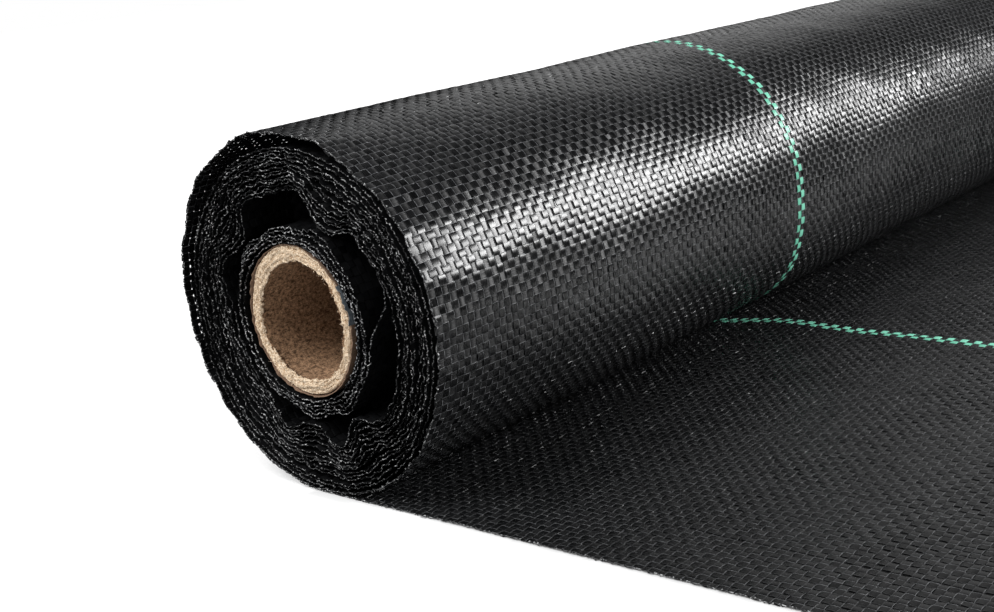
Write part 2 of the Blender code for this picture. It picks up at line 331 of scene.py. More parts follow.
class Cloth:
    """A plain weave of flat tapes on a surface, each crossing a little different.

    near and far are the web's cut edges, or None where it goes on. For each row, gape says how open the weave is
    at them and shut how tight it is beside the near one, from 0 to 1. fray scales how ragged they are.
    """

    def __init__(self, surface, rows, tapes, seed, near, far, gape=0.3, fray=1.0, shut=0.0):
        self.surface, self.rows, self.tapes, self.fray = surface, rows, tapes, fray
        gape = gape + 0.0 * rows
        self.near, self.far = near, far
        rng = np.random.default_rng(seed)
        size = (len(tapes), len(rows))
        even = (np.arange(size[0])[:, None] + np.arange(size[1])[None, :]) % 2 == 0
        self.lift = np.where(even, LIFT, -LIFT) * (1.0 + 0.15 * rng.standard_normal(size))
        self.tilt = {"warp": 0.035 * MM * rng.standard_normal(size), "weft": 0.04 * MM * rng.standard_normal(size)}
        self.bias = {
            "warp": 0.03 * MM * rng.standard_normal(size[0]),
            "weft": 0.03 * MM * rng.standard_normal(size[1]),
        }
        self.shift = {
            "warp": 0.10 * MM * rng.standard_normal(size[0]),
            "weft": 0.08 * MM * rng.standard_normal(size[1]),
        }
        self.width = {
            "warp": WARP_PITCH * np.clip(0.95 + 0.04 * rng.standard_normal(size[0]), 0.75, 1.02),
            "weft": WEFT_PITCH * np.clip(0.99 + 0.03 * rng.standard_normal(size[1]), 0.85, 1.03),
        }
        self.pinch = {
            "warp": np.where(rng.random(size) < 0.004, rng.uniform(0.6, 0.85, size), 1.0),
            "weft": np.where(rng.random(size) < 0.003, rng.uniform(0.55, 0.8, size), 1.0),
        }
        for edge, first, step in ((near, 0, 1), (far, -1, -1)):
            if edge is None:
                continue
            for depth, (tape, wefts) in enumerate(RIM_GAPE):
                number = first + step * depth
                self.pinch["warp"][number] *= 1.0 - gape * (1.0 - tape)
                self.pinch["weft"][number] *= 1.0 - gape * (1.0 - wefts)
        self.pinch["warp"][:SHUT_TAPES] *= 1.0 + SHUT_WARP * shut
        self.pinch["weft"][:SHUT_TAPES] *= 1.0 + SHUT_WEFT * shut
        self.fringe = fray * (0.06 * MM + 0.3 * MM * rng.random((size[1], 2)) ** 2)
        self.fringe += np.where(rng.random((size[1], 2)) < 0.05, 1.1 * MM * rng.random((size[1], 2)), 0.0)
        self.seed = seed

    def wander(self, s, y):
        """How far the rows stray, in metres along and across."""
        along = waves(self.seed + 1, s, y, 0.5, 0.45) * 0.9 * MM
        along = along + waves(self.seed + 2, s, y, 0.03, 0.025) * 0.14 * MM
        across = waves(self.seed + 3, s, y, 0.05, 0.3) * 0.25 * MM
        return along, across

    def strips(self, kind, pick, cut):
        """Corners, faces, UV and folds of the picked tapes of one kind: every second one, then the others."""
        pick = np.asarray(pick)
        parts = [(self.every_other(kind, pick[pick % 2 == odd], odd, cut), 0) for odd in (0, 1)]
        return joined(parts)[:4]

    def every_other(self, kind, pick, odd, cut):
        """The tapes of one kind that lie over and under at the same places. Only the warp wanders across."""
        warp = kind == "warp"
        crossings = self.rows if warp else self.tapes
        bends = [
            (i, share, level)
            for i in range(len(crossings))
            for share, level in BENDS[kind][((i + odd) % 2 == 0) != warp]
        ]
        at = np.array([bend[0] for bend in bends])
        shares, levels = np.array([bend[1:] for bend in bends]).T
        line = crossings[at] + shares * (WEFT_PITCH if warp else WARP_PITCH)
        line = np.repeat(line[None, :], len(pick), 0)
        own = (self.tapes if warp else self.rows)[pick][:, None]
        lift = np.abs(self.lift[pick] if warp else self.lift.T[pick])[:, at] * levels
        tilt = (self.tilt[kind][pick] if warp else self.tilt[kind].T[pick])[:, at]
        tilt = tilt + self.bias[kind][pick][:, None]
        own = np.repeat(own + self.shift[kind][pick][:, None], line.shape[1], 1)
        pinch = (self.pinch[kind][pick] if warp else self.pinch[kind].T[pick])[:, at]
        rng = np.random.default_rng(self.seed + (5 if warp else 6) + 10 * odd)
        half = self.width[kind][pick][:, None] / 2.0 * pinch
        half = half * (1.0 + 0.02 * rng.standard_normal(half.shape))
        folds = np.repeat(np.where(np.abs(levels) < 0.8, np.arange(1, len(at) + 1), 0)[None, :], len(pick), 0)
        if not warp:
            line, own, lift, tilt, half, folds = self.with_fringe(pick, line, own, lift, tilt, half, folds, rng)
        corners = []
        for place, drop in cut:
            beside = own + place * half
            s, y = (line, beside) if warp else (beside, line)
            along, across = self.wander(s, y)
            point, normal = self.surface(s + along, y + across if warp else y)
            height = lift + tilt * place - drop
            corners.append(point + normal * height[..., None])
        verts = np.stack(corners, 2)
        u = np.broadcast_to(np.array([(p + 1.0) / 2.0 for p, _ in cut]), verts.shape[:3])
        v = np.broadcast_to((line + 2.0 * pick[:, None])[..., None], verts.shape[:3])
        folds = np.repeat(folds[..., None], len(cut), 2)
        return verts, grid_faces(*verts.shape[:3]), np.stack([u, v], -1), folds

    def cut_edge(self, side, seed):
        """The fused edge where the web was cut: a thin crinkled bead along the outermost warp tape."""
        edge = self.near if side < 0 else self.far
        rng = np.random.default_rng(seed)
        first, last = self.rows[0] - WEFT_PITCH / 2.0, self.rows[-1] + WEFT_PITCH / 2.0
        s = np.linspace(first, last, int((last - first) / BEAD_STEP))
        outer = self.lift[0 if side < 0 else -1]
        height = np.interp(s, self.rows, outer) * 0.9 + 0.14 * self.fray * MM * rng.standard_normal(len(s))
        thick = MM * (0.03 + 0.2 * rng.random(len(s)) ** 3)
        out = MM * (0.14 * rng.standard_normal(len(s)) + 0.03)
        corners = []
        for inward, up in ((0.4, 0.6), (0.0, 1.0), (0.0, -1.0), (0.4, -0.6)):
            y = np.full_like(s, edge) - side * (inward * MM - out)
            along, _ = self.wander(s, y)
            point, normal = self.surface(s + along, y)
            corners.append(point + normal * (height + up * thick)[:, None])
        verts = np.stack(corners, 1)[None]
        u = np.broadcast_to(np.array([0.0, 0.3, 0.7, 1.0]), verts.shape[:3])
        v = np.broadcast_to((s + 2.0 * seed % 50)[None, :, None], verts.shape[:3])
        return verts, grid_faces(*verts.shape[:3]), np.stack([u, v], -1), np.zeros(verts.shape[:3], dtype=int)

    def frayed(self, verts, faces):
        """Which faces of weft tapes stick out past the web's cut edges, as 1 or 0."""
        near = -np.inf if self.near is None else self.near
        far = np.inf if self.far is None else self.far
        middle = verts[faces].mean(1)[:, 1]
        return np.where((middle < near + FRAY_DEPTH) | (middle > far - FRAY_DEPTH), 1, 0)

    def with_fringe(self, pick, line, own, lift, tilt, half, folds, rng):
        """Weft tapes stick out past the outermost warp tapes, a little frayed."""
        count = len(self.rows)
        loose = rng.standard_normal((count, 2, 3))[pick]
        ends = []
        for side, edge, way in ((0, self.near, -1.0), (1, self.far, 1.0)):
            if edge is None:
                ends.append(None)
                continue
            last = [-1 if side else 0]
            ends.append(
                (
                    (edge + way * self.fringe[pick, side])[:, None],
                    own[:, last] + 0.22 * MM * loose[:, [side], 0],
                    lift[:, last] * 0.3 + 0.14 * self.fray * MM * loose[:, [side], 1],
                    tilt[:, last] + 0.12 * MM * loose[:, [side], 2],
                    half[:, last] * (0.85 + 0.1 * loose[:, [side], 0]),
                    0 * folds[:, last],
                )
            )
        longer = []
        for i, part in enumerate((line, own, lift, tilt, half, folds)):
            row = [part]
            if ends[0] is not None:
                row.insert(0, ends[0][i])
            if ends[1] is not None:
                row.append(ends[1][i])
            longer.append(np.concatenate(row, 1))
        return longer


def joined(parts):
    """Several sets of corners, faces, UV and folds, each with its material's number, as one."""
    columns, count = ([], [], [], [], []), 0
    for (vert, face, uv, fold), number in parts:
        slots = number + np.zeros(len(face), dtype=int)
        row = (vert.reshape(-1, 3), face + count, uv.reshape(-1, 2), fold.ravel(), slots)
        for column, value in zip(columns, row):
            column.append(value)
        count += len(row[0])
    return [np.concatenate(column) for column in columns]


class Nodes:
    """The nodes of a material or a world, made one after another."""

    def __init__(self, owner, shader="Principled BSDF"):
        self.owner = owner
        owner.use_nodes = True
        self.tree = owner.node_tree
        self.shader = self.tree.nodes[shader]

    def new(self, kind, inputs=None, **settings):
        """A node with its settings, and its inputs by name or number: a number, a colour or another node's socket."""
        node = self.tree.nodes.new(kind)
        for key, value in settings.items():
            setattr(node, key, value)
        for key, value in (inputs or {}).items():
            self.put(node.inputs[key], value)
        return node

    def put(self, socket, value):
        """Set a socket, or link another node's to it."""
        if isinstance(value, bpy.types.NodeSocket):
            self.tree.links.new(value, socket)
        else:
            socket.default_value = value

    def shade(self, inputs):
        """Put values on the shader's own sockets."""
        for key, value in inputs.items():
            self.put(self.shader.inputs[key], value)

    def math(self, operation, *values):
        """A Math node's result."""
        node = self.new("ShaderNodeMath", operation=operation)
        for socket, value in zip(node.inputs, values):
            self.put(socket, value)
        return node.outputs[0]

    def ramp(self, factor, stops):
        """A colour ramp's colour, from stops of (place, colour)."""
        node = self.new("ShaderNodeValToRGB", {"Fac": factor})
        band = node.color_ramp.elements
        while len(band) < len(stops):
            band.new(0.5)
        for element, (place, colour) in zip(band, stops):
            element.position = place
            element.color = (*colour, 1.0) if len(colour) == 3 else colour
        return node.outputs["Color"]

    def spread(self, factor, low, high, lowest=0.0, highest=1.0, **settings):
        """A number carried from one span, lowest to highest, to another, low to high."""
        spans = {"From Min": lowest, "From Max": highest, "To Min": low, "To Max": high}
        return self.new("ShaderNodeMapRange", {"Value": factor, **spans}, **settings).outputs[0]

    def noise(self, vector, scale, detail=2.0, rough=0.5):
        """A noise texture's value."""
        node = self.new(
            "ShaderNodeTexNoise", {"Vector": vector, "Scale": scale, "Detail": detail, "Roughness": rough}
        )
        return node.outputs["Fac"]

    def vector(self, x, y, z=0.0):
        """Three numbers as one vector."""
        return self.new("ShaderNodeCombineXYZ", {"X": x, "Y": y, "Z": z}).outputs[0]

    def mix(self, share, under, over):
        """One colour laid over another by a share."""
        return self.new("ShaderNodeMix", {0: share, 6: under, 7: over}, data_type="RGBA").outputs[2]

    def bump(self, strength, distance, height):
        """A normal bent by a height."""
        inputs = {"Strength": strength, "Distance": distance, "Height": height}
        return self.new("ShaderNodeBump", inputs).outputs[0]

    def place(self):
        """The place on the object, in its own metres."""
        return self.new("ShaderNodeTexCoord").outputs["Object"]

    def tape_place(self):
        """The place on a tape as a vector, and as u across it and v along it."""
        place = self.new("ShaderNodeUVMap", uv_map="tape").outputs[0]
        split = self.new("ShaderNodeSeparateXYZ", {"Vector": place})
        return place, split.outputs[0], split.outputs[1]


def tape_material(name, dark, light, shine, gloss, seed, pale=(0.0, 0.0), edge=(0.23, 0.235, 0.245)):
    """Stretched film tape: fine lines along it, each stretch a little different, and a painted glint along its slit
    edges.

    The two shares in pale set that painted glint on the edge where u is 0 and on the one where it is 1;
    edge is its colour.
    """
    made = Nodes(bpy.data.materials.new(name))
    _, u, v = made.tape_place()
    number = made.math("FLOOR", made.math("DIVIDE", v, 2.0))
    own = made.new("ShaderNodeTexWhiteNoise", {"W": made.math("ADD", number, seed)}, noise_dimensions="1D")
    fine = made.vector(made.math("MULTIPLY", u, 16.0), made.math("MULTIPLY", v, 45.0), number)
    coarse = made.vector(made.math("MULTIPLY", u, 0.7), made.math("MULTIPLY", v, 260.0), number)
    lines, patch = made.noise(fine, 1.0, 3.0), made.noise(coarse, 1.0, 2.0)
    streaks = made.math("ADD", made.math("MULTIPLY", lines, 0.35), made.math("MULTIPLY", patch, 0.3))
    tone = made.math("ADD", made.math("MULTIPLY", own.outputs[0], 0.35), streaks)
    film = made.ramp(tone, ((0.25, dark), (0.75, light)))
    # Painted glint: a thin pale line along each slit edge, broken here and there
    if max(pale) > 0.0:
        sides = made.math(
            "MAXIMUM", made.spread(u, pale[0], 0.0, 0.01, 0.07), made.spread(u, 0.0, pale[1], 0.93, 0.985)
        )
        broken = made.noise(made.vector(u, made.math("MULTIPLY", v, 640.0), number), 1.0, 2.0)
        painted_glint = made.math("MULTIPLY", sides, made.spread(broken, 0.4, 1.0, 0.4, 0.6))
        film = made.mix(painted_glint, film, (*edge, 1.0))
    rough = made.math("ADD", made.math("MULTIPLY", lines, 0.6), made.math("MULTIPLY", patch, 0.4))
    made.shade({
        "Base Color": film,
        "Roughness": made.spread(rough, shine - 0.08, shine + 0.1, 0.3, 0.7),
        "Normal": made.bump(0.35, 0.02 * MM, lines),
        "Anisotropic": 0.75,
        "Specular IOR Level": gloss,
        "Tangent": made.new("ShaderNodeTangent", direction_type="UV_MAP", uv_map="tape").outputs[0],
    })
    return made.owner


def edge_material(name, less=0.0):
    """The cut edge: fused black film with painted glints here and there, the more the higher less is."""
    made = Nodes(bpy.data.materials.new(name))
    _, u, v = made.tape_place()
    along = made.noise(made.vector(u, made.math("MULTIPLY", v, 1700.0)), 1.0, 2.0, 0.6)
    wide = made.noise(made.vector(0.0, made.math("MULTIPLY", v, 60.0)), 1.0, 2.0)
    tone = made.math("ADD", made.math("MULTIPLY", along, 0.75), made.math("MULTIPLY", wide, 0.25))
    # From near black film up to a painted glint
    stops = ((0.45, (0.003, 0.003, 0.0035)), (0.54, (0.035, 0.036, 0.038)), (0.61, (0.55, 0.555, 0.56)))
    stops = [(stop - less, colour) for stop, colour in stops]
    made.shade({"Base Color": made.ramp(tone, stops), "Roughness": made.spread(along, 0.25, 0.55)})
    return made.owner


def lining_material():
    """The middle of the inner turns, seen only down the gaps: the same weave, drawn by its bumps."""
    made = Nodes(bpy.data.materials.new("woven_lining"))
    place, u, v = made.tape_place()
    across = made.math("SINE", made.math("MULTIPLY", u, FULL_TURN / (2 * WARP_PITCH)))
    along = made.math("SINE", made.math("MULTIPLY", v, FULL_TURN / (2 * WEFT_PITCH)))
    weave = made.math("MULTIPLY", across, along)
    stray = made.noise(place, 900.0, 3.0)
    tone = made.math("ADD", made.spread(weave, 0.3, 0.6, -1.0, 1.0), made.math("MULTIPLY", stray, 0.25))
    made.shade({
        "Base Color": made.ramp(tone, ((0.3, (0.008, 0.008, 0.009)), (0.8, (0.03, 0.03, 0.033)))),
        "Roughness": made.spread(stray, 0.35, 0.6),
        "Normal": made.bump(0.8, 0.3 * MM, weave),
    })
    return made.owner


def paper_material(
    name, dark, light, grain, rough, speck=(0.6, 0.46, 0.31), stops=(0.3, 0.7), pit_shade=(0.1, 0.06, 0.035)
):
    """Rough paper or board, mottled, with pale fibres, and dark specks painted as the shade in small pits."""
    made = Nodes(bpy.data.materials.new(name))
    place = made.place()
    mottle = made.noise(place, grain, 5.0, 0.65)
    drawn_out = made.new("ShaderNodeMapping", {"Vector": place, "Scale": (1.0, 0.22, 1.0)}).outputs[0]
    fibre = made.noise(drawn_out, 2600.0, 4.0, 0.7)
    tone = made.math("ADD", made.math("MULTIPLY", mottle, 0.6), made.math("MULTIPLY", fibre, 0.4))
    base = made.ramp(tone, ((stops[0], dark), (stops[1], light)))
    base = made.mix(made.spread(fibre, 0.0, 0.6, 0.6, 0.72), base, (*speck, 1.0))
    # Painted shade: dark specks standing for the shadow in small pits and cracks
    pit_shade_mask = made.noise(place, 2200.0, 3.0, 0.6)
    made.shade({
        "Base Color": made.mix(made.spread(pit_shade_mask, 0.0, 0.85, 0.57, 0.66), base, (*pit_shade, 1.0)),
        "Roughness": made.spread(mottle, rough - 0.06, rough + 0.08),
        "Normal": made.bump(0.6, 0.15 * MM, fibre),
        "Specular IOR Level": 0.3,
    })
    return made.owner


def tape_film():
    """The bluish grey tape that holds the web's start: plastic film, a little dusty."""
    made = Nodes(bpy.data.materials.new("grey_tape"))
    dust = made.noise(made.place(), 700.0, 4.0, 0.6)
    film = made.ramp(dust, ((0.3, (0.085, 0.10, 0.112)), (0.7, (0.20, 0.228, 0.25))))
    made.shade({"Base Color": film, "Roughness": made.spread(dust, 0.25, 0.5)})
    return made.owner


# One and the same film in all four: the weft's colours are lighter than the warp's, a painted sheen, and the laid
# sheet's a little darker than the wrap's, painted shade. The pair at the end sets the painted glint on each tape's
# two edges
WARP_BLACK = tape_material(
    "woven_black_warp", (0.0018, 0.0019, 0.0021), (0.0065, 0.0067, 0.0072), 0.25, 0.28, 0.0, (0.2, 1.0)
)
WEFT_BLACK = tape_material(
    "woven_black_weft", (0.003, 0.0031, 0.0033), (0.0115, 0.0118, 0.0125), 0.28, 0.28, 3.0, (0.4, 1.0)
)
LAID_WARP = tape_material(
    "laid_black_warp", (0.0015, 0.0016, 0.0018), (0.0055, 0.0057, 0.0061), 0.3, 0.16, 9.0, (0.25, 1.0)
)
LAID_WEFT = tape_material(
    "laid_black_weft", (0.0025, 0.0026, 0.0028), (0.011, 0.0113, 0.0118), 0.28, 0.16, 11.0, (0.3, 1.0)
)
INNER_BLACK = tape_material("woven_black_inner", (0.002, 0.0021, 0.0023), (0.007, 0.0072, 0.0078), 0.34, 0.12, 5.0)
GREEN = tape_material("marker_green", (0.10, 0.38, 0.26), (0.21, 0.60, 0.44), 0.4, 0.35, 7.0)
EDGE = edge_material("cut_edge")
# The crushed core turns' cut edges carry more of the painted glint
CRUSHED_GLINTS = edge_material("crushed_edge_glints", 0.03)
LINING = lining_material()
BOARD = paper_material(
    "core_board", (0.36, 0.225, 0.12), (0.83, 0.69, 0.52), 1300.0, 0.88,
    speck=(0.88, 0.79, 0.66), stops=(0.4, 0.58), pit_shade=(0.16, 0.095, 0.055),
)
SKIN = paper_material("core_skin", (0.10, 0.062, 0.04), (0.24, 0.15, 0.10), 300.0, 0.82)
TAPE = tape_film()
LINER = paper_material(
    "core_liner", (0.07, 0.036, 0.017), (0.45, 0.275, 0.16), 900.0, 0.84,
    stops=(0.4, 0.6), pit_shade=(0.02, 0.01, 0.006),
)

# The outermost turn and the laid sheet

EDGE_SEED = 61
tapes = NEAR_EDGE + WARP_PITCH * (np.arange(WARP_COUNT) + 0.5)
green = [k for pair in GREEN_TAPES for k in pair]
near_tapes = [k for k in range(WARP_COUNT // 2) if k not in green]
far_tapes = [k for k in range(WARP_COUNT // 2, WARP_COUNT) if k not in green]


def dress(made, slot, nodes, flat, held, body=None, rests_on=(), area=None):
    """Hide the CAD parts that a piece of the web stands for, and bake its place into it or hang it on its body."""
    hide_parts(*nodes)
    if body is None:
        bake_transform(made)
    else:
        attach(made, body)


def lay(name, cloth, looks, length, nodes, held, body=None, rests_on=()):
    """A web's tapes as four pieces: the warp of its near and far half, and the weft of its two ends."""
    warp_look, weft_look = looks
    half = len(cloth.rows) // 2
    for place, side, pick in (("near", -1.0, near_tapes), ("far", 1.0, far_tapes)):
        cut = FINE_CUT if side < 0 else PLAIN_CUT
        parts = [(cloth.strips("warp", pick, cut), 0), (cloth.cut_edge(side, EDGE_SEED), 1)]
        verts, faces, uv, folds, slots = joined(parts)
        made = add_mesh(f"{name}_warp_{place}", verts, faces, [warp_look, EDGE], uv, slots, folds)
        dress(made, "woven_black", nodes, (WEB_WIDTH / 2.0, length), held, body, rests_on)
    for place, pick in (("first", range(half)), ("last", range(half, len(cloth.rows)))):
        verts, faces, uv, folds = cloth.strips("weft", pick, PLAIN_CUT)
        slots = cloth.frayed(verts, faces)
        made = add_mesh(f"{name}_weft_{place}", verts, faces, [weft_look, EDGE], uv, slots, folds)
        dress(made, "woven_black", nodes, (WEB_WIDTH, length / 2.0), held, body, rests_on)


wrap_rows = np.arange(0.5, WRAP.length / WEFT_PITCH - 0.3) * WEFT_PITCH
wrap_turn = np.interp(wrap_rows, WRAP.s, WRAP_DEGREES)
gape = np.clip(0.05 + 1.2 * bump(wrap_turn, -181.0, 24.0) * (0.8 + 0.45 * np.sin(1.9 * wrap_turn)), 0.0, 1.0)
shut = np.clip(1.0 - 1.5 * gape, 0.0, 1.0)
wrap = Cloth(wrap_surface, wrap_rows, tapes, 100, NEAR_EDGE, FAR_EDGE, gape, 1.4, shut)
# Three crossings where the tapes are squeezed, so that a speck of light or dark shows: place along, and degrees
for place, degrees in ((-0.401, -334.0), (-0.354, -329.0), (-0.372, -345.0)):
    tape, row = int((place - NEAR_EDGE) / WARP_PITCH), int(np.interp(-degrees, -WRAP_DEGREES, WRAP.s) / WEFT_PITCH)
    wrap.pinch["warp"][tape, row] = wrap.pinch["weft"][tape + 1, row] = 0.5
lay("wrap", wrap, (WARP_BLACK, WEFT_BLACK), WRAP.length, ["outer_wrap"], "stretched", "laid_web", ["outer_turns"])
sheet_rows = np.arange(-SHEET_HEEL + 1.3 * MM, FOLD_REACH + FREE_LENGTH - 1.0 * MM, WEFT_PITCH)
sheet = Cloth(sheet_surface, sheet_rows, tapes, 200, NEAR_EDGE, FAR_EDGE)
sheet_length = SHEET_HEEL + FOLD_REACH + FREE_LENGTH
lay("sheet", sheet, (LAID_WARP, LAID_WEFT), sheet_length, ["laid_sheet", "free_end"], "laid")

MARKER_SIDE = 0.01
for i, pair in enumerate(GREEN_TAPES, 1):
    for name, cloth, length, nodes, carried in (
        ("wrap", wrap, WRAP.length, ["wrap"], ("stretched", "laid_web", ["outer_turns"])),
        ("sheet", sheet, sheet_length, ["sheet", "end"], ("laid",)),
    ):
        verts, faces, uv, folds = cloth.strips("warp", pair, FINE_CUT)
        made = add_mesh(f"marker_{name}_{i}", verts, faces, GREEN, uv, folds=folds)
        nodes = [f"marker_tape_{node}_{i}" for node in nodes]
        area = 2 * WARP_PITCH * length
        dress(made, "marker_green", nodes, (MARKER_SIDE, length), *carried, area=area)

# The turns inside: woven bands at both ends, and the plain middle of the web between, which starts a little less
# deep than the bands reach

BAND_TAPES = 8
MIDDLE_DEPTH = 17 * MM
ends = (0.0, FULL_TURN * CORE_TURNS, FULL_TURN * (CORE_TURNS + LOOSE_TURNS), WINDING_TURN)
for number, (name, start, end) in enumerate(zip(("core_turns", "crumpled_turns", "outer_turns"), ends, ends[1:])):
    first, last = np.interp((start, end), WINDING_TURNED, WINDING.s)
    rows = np.arange(first + 0.5 * WEFT_PITCH, last, WEFT_PITCH)
    order = np.arange(BAND_TAPES) + 0.5
    near_band, far_band = NEAR_EDGE + WARP_PITCH * order, FAR_EDGE - WARP_PITCH * order[::-1]
    near_cloth = Cloth(winding_surface, rows, near_band, 300 + 20 * number, NEAR_EDGE, None)
    far_cloth = Cloth(winding_surface, rows, far_band, 310 + 20 * number, None, FAR_EDGE)
    parts = []
    for side, cloth, cut in ((-1, near_cloth, FINE_CUT), (1, far_cloth, PLAIN_CUT)):
        parts.append((cloth.strips("warp", range(BAND_TAPES), cut), 0))
        parts.append((cloth.strips("weft", range(len(rows)), PLAIN_CUT), 1))
        parts.append((cloth.cut_edge(side, 400 + number + 5 * side), 2))
    verts, faces, uv, folds, slots = joined(parts)
    looks = [INNER_BLACK, INNER_BLACK, EDGE if number else CRUSHED_GLINTS]
    made = add_mesh(f"{name}_ends", verts, faces, looks, uv, slots, folds)
    flat = (2 * BAND_TAPES * WARP_PITCH, last - first)
    dress(made, "woven_black", [name], flat, "stretched", "roll", ["core_tube"])
    s = np.linspace(first, last, int((last - first) / (2.2 * MM)))
    y = np.linspace(NEAR_EDGE + MIDDLE_DEPTH, FAR_EDGE - MIDDLE_DEPTH, 9)
    grid_s, grid_y = np.meshgrid(s, y, indexing="ij")
    verts, _ = winding_surface(grid_s, grid_y)
    made = add_grid(f"{name}_middle", verts, LINING, np.stack([grid_y, grid_s], -1))
    flat = (WEB_WIDTH - 2 * MIDDLE_DEPTH, last - first)
    dress(made, "woven_black", [name], flat, "stretched", "roll", ["core_tube"])

# The core: board with rough laminated ends, its brown skin, dark liner and the tape that holds the web's start


def ring_noise(seed, cells, angle, other=None, rows=1):
    """Uneven values from -1 to 1 round a ring, and across it where other runs from 0 to 1."""
    rng = np.random.default_rng(seed)
    lattice = rng.uniform(-1.0, 1.0, (cells, rows + 1))
    place = (angle / FULL_TURN % 1.0) * cells
    i = np.floor(place).astype(int)
    share = smooth_step(place - i)
    row = np.zeros_like(angle) if other is None else np.clip(other, 0.0, 0.9999) * rows
    j = np.floor(row).astype(int)
    part = row - j
    low = lattice[i % cells, j] * (1 - share) + lattice[(i + 1) % cells, j] * share
    high = lattice[i % cells, j + 1] * (1 - share) + lattice[(i + 1) % cells, j + 1] * share
    return low * (1 - part) + high * part


def round_axis(radius, y, angle):
    """Points round the roll's axis, on a tube whose ends are squeezed a little out of round."""
    radius, y, angle = np.broadcast_arrays(radius, y, angle)
    from_end = np.maximum(np.minimum(y - NEAR_EDGE, FAR_EDGE - y), 0.0)
    radius = radius - 0.7 * MM * np.cos(2.0 * angle) * np.exp(-from_end / 0.04)
    return np.stack([radius * np.cos(angle), y, AXIS_HEIGHT + radius * np.sin(angle)], -1)


def ride_core(made, node):
    """Hide the CAD part that a rigid piece of the core stands for, and hang the piece on the core's body."""
    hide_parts(node)
    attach(made, "core")


def add_ply(name, outside, inside, y, angle, material):
    """A ply round the core as a closed loop: along its outside, back along its inside, and shut."""
    loop = np.concatenate([outside, inside[:, ::-1], outside[:, :1]], 1)
    rows = np.concatenate([y, y[:, ::-1], y[:, :1]], 1)
    return add_grid(name, round_axis(loop, rows, angle), material)


CORE_STEPS = 540
CORE_NEAR, CORE_FAR = NEAR_EDGE - CORE_PROUD, FAR_EDGE + CORE_PROUD
core_angle = np.linspace(0.0, FULL_TURN, CORE_STEPS + 1)[:, None]
BORE_RADIUS = CORE_RADIUS - CORE_WALL
SKIN_INNER = CORE_RADIUS - CORE_PLY
PLY = 0.54 * MM
# How deep the board's inside and outside have corners, so that they follow the ends' squeeze
DEEP = (9.0, 16.0, 26.0, 40.0, 60.0, 90.0, 140.0, 220.0)
# The crushed lip inside the bore: how far it has come back to the bore, and how deep
LIP = ((0.05, 0.2), (0.25, 0.5), (0.6, 1.0), (0.9, 1.7)) + tuple((1.0, depth) for depth in DEEP)


def board_end(seed):
    """Radius and depth of the board's rough end, from its outside to its bore, at each angle."""

    def uneven(offset, cells, *other):
        return ring_noise(seed + offset, cells, core_angle, *other)

    crushed = 0.8 - 0.6 * np.cos(core_angle) - 0.9 * np.cos(2.0 * core_angle - 0.4) + 0.65 * uneven(0, 9)
    crushed = crushed + 0.5 * uneven(1, 31) + 0.35 * uneven(2, 120)
    crushed = np.clip(crushed, -1.0, 2.6) * MM
    outer = SKIN_INNER - (0.2 + 0.16 * uneven(3, 45) + 0.14 * uneven(6, 150)) * MM
    inner = BORE_RADIUS + 0.35 * MM - crushed
    share = np.linspace(0.0, 1.0, 26)[None, :]
    radius = outer + (inner - outer) * share
    ply = (radius - BORE_RADIUS + 0.12 * MM * uneven(4, 14)) / PLY
    layer = np.floor(ply)
    groove = np.exp(-(((ply - layer - 0.5) / 0.16) ** 2)) * (0.35 + 0.3 * uneven(5, 60))
    depth = np.zeros_like(radius)
    for number in range(-5, 9):
        ragged = 0.34 * uneven(20 + number, 17) + 0.3 * uneven(40 + number, 75)
        ragged = ragged + 0.16 * uneven(60 + number, 230)
        depth = np.where(layer == number, ragged, depth)
    rounded = 0.5 * (np.clip(1.0 - share * 9.0, 0.0, 1.0) ** 2 + np.clip(share * 7.0 - 6.0, 0.0, 1.0) ** 2)
    depth = (0.35 + depth + groove * 0.7 + rounded) * MM
    depth = depth + 0.12 * MM * uneven(90, 400, share, 20)
    lip_r = np.concatenate([inner + (BORE_RADIUS + 0.45 * MM - inner) * back for back, _ in LIP], 1)
    lip_y = np.concatenate([depth[:, -1:] + deep * MM for _, deep in LIP], 1)
    start_r = np.concatenate([outer + 0.05 * MM] * len(DEEP) + [outer], 1)
    start_y = np.concatenate([depth[:, :1] + deep * MM for deep in DEEP[::-1] + (0.8,)], 1)
    return np.concatenate([start_r, radius, lip_r], 1), np.concatenate([start_y, depth, lip_y], 1)


near_r, near_y = board_end(500)
far_r, far_y = board_end(700)
radius = np.concatenate([near_r, far_r[:, ::-1], near_r[:, :1]], 1)
along = np.concatenate([CORE_NEAR + near_y, CORE_FAR - far_y[:, ::-1], CORE_NEAR + near_y[:, :1]], 1)
verts = round_axis(radius, along, core_angle)
across = np.tile(np.arange(verts.shape[1] - 1), CORE_STEPS)
in_bore = (across >= near_r.shape[1] - len(LIP)) & (across < near_r.shape[1] + len(LIP) - 1)
ride_core(add_grid("core_board", verts, [BOARD, LINER], slots=in_bore), "core_tube")


